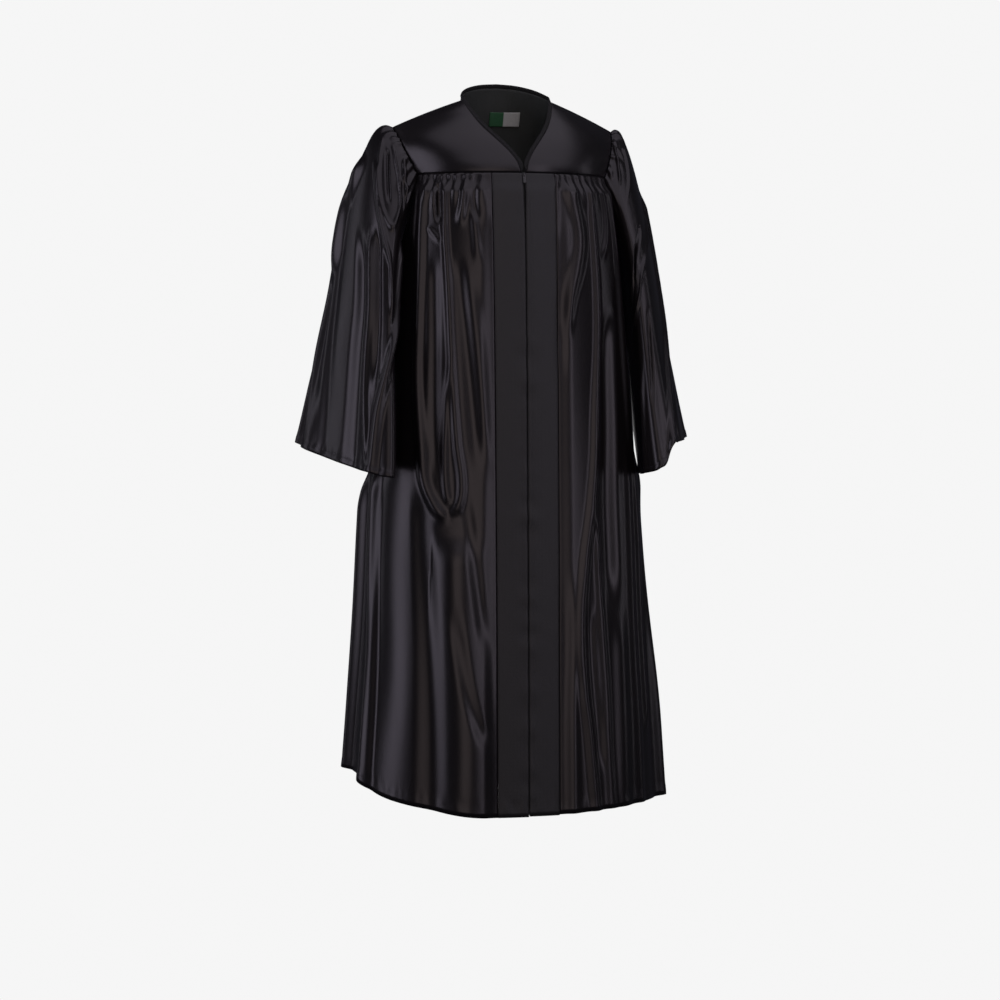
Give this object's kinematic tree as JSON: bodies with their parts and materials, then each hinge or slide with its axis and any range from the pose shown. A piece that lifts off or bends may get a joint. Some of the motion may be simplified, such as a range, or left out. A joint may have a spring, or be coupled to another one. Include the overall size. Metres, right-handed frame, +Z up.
{
  "type": "graduation gown",
  "caption": "Worn black satin graduation gown, hollow: plain yoke, gathered fronts and back, flat front bands, closed zip with a pull that swings, wide sleeves and a V neck.",
  "frame": {"origin": "midway between the two side neck points, where the wearer's neck and shoulders hold the gown", "axes": "+Z up, the front faces -Y, and +X is the wearer's left side"},
  "size_m": [0.724, 0.3938, 1.3047],
  "materials": {
    "satin": "black polyester satin, shiny, with soft bluish highlights",
    "band": "the same black cloth with a stiff lining fused to it, smoother and less shiny",
    "binding": "matt black bias binding",
    "label": "woven satin ribbon, bare, one part green and one part white",
    "zip": "black nylon coil on black woven tape",
    "slider": "black lacquered metal with worn bright edges"
  },
  "bodies": {
    "gown": {"yoke_front_right": "satin", "yoke_front_left": "satin", "yoke_back": "satin", "front_panel_right": "satin", "front_panel_left": "satin", "back_panel": "satin", "sleeve_right": "satin", "sleeve_left": "satin", "front_band_right": "band", "front_band_left": "band", "neck_binding": "binding", "label": "label", "zip_tape": "zip", "zip_chain": "zip", "zip_slider": "slider"},
    "pull": {"zip_pull": "slider"}
  },
  "joints": [
    {"name": "pull_swing", "type": "hinge", "parent": "gown", "child": "pull", "pos_m": [0, -0.12079, -0.13958], "axis": [-1, 0, 0], "range_deg": [0, 165]}
  ]
}
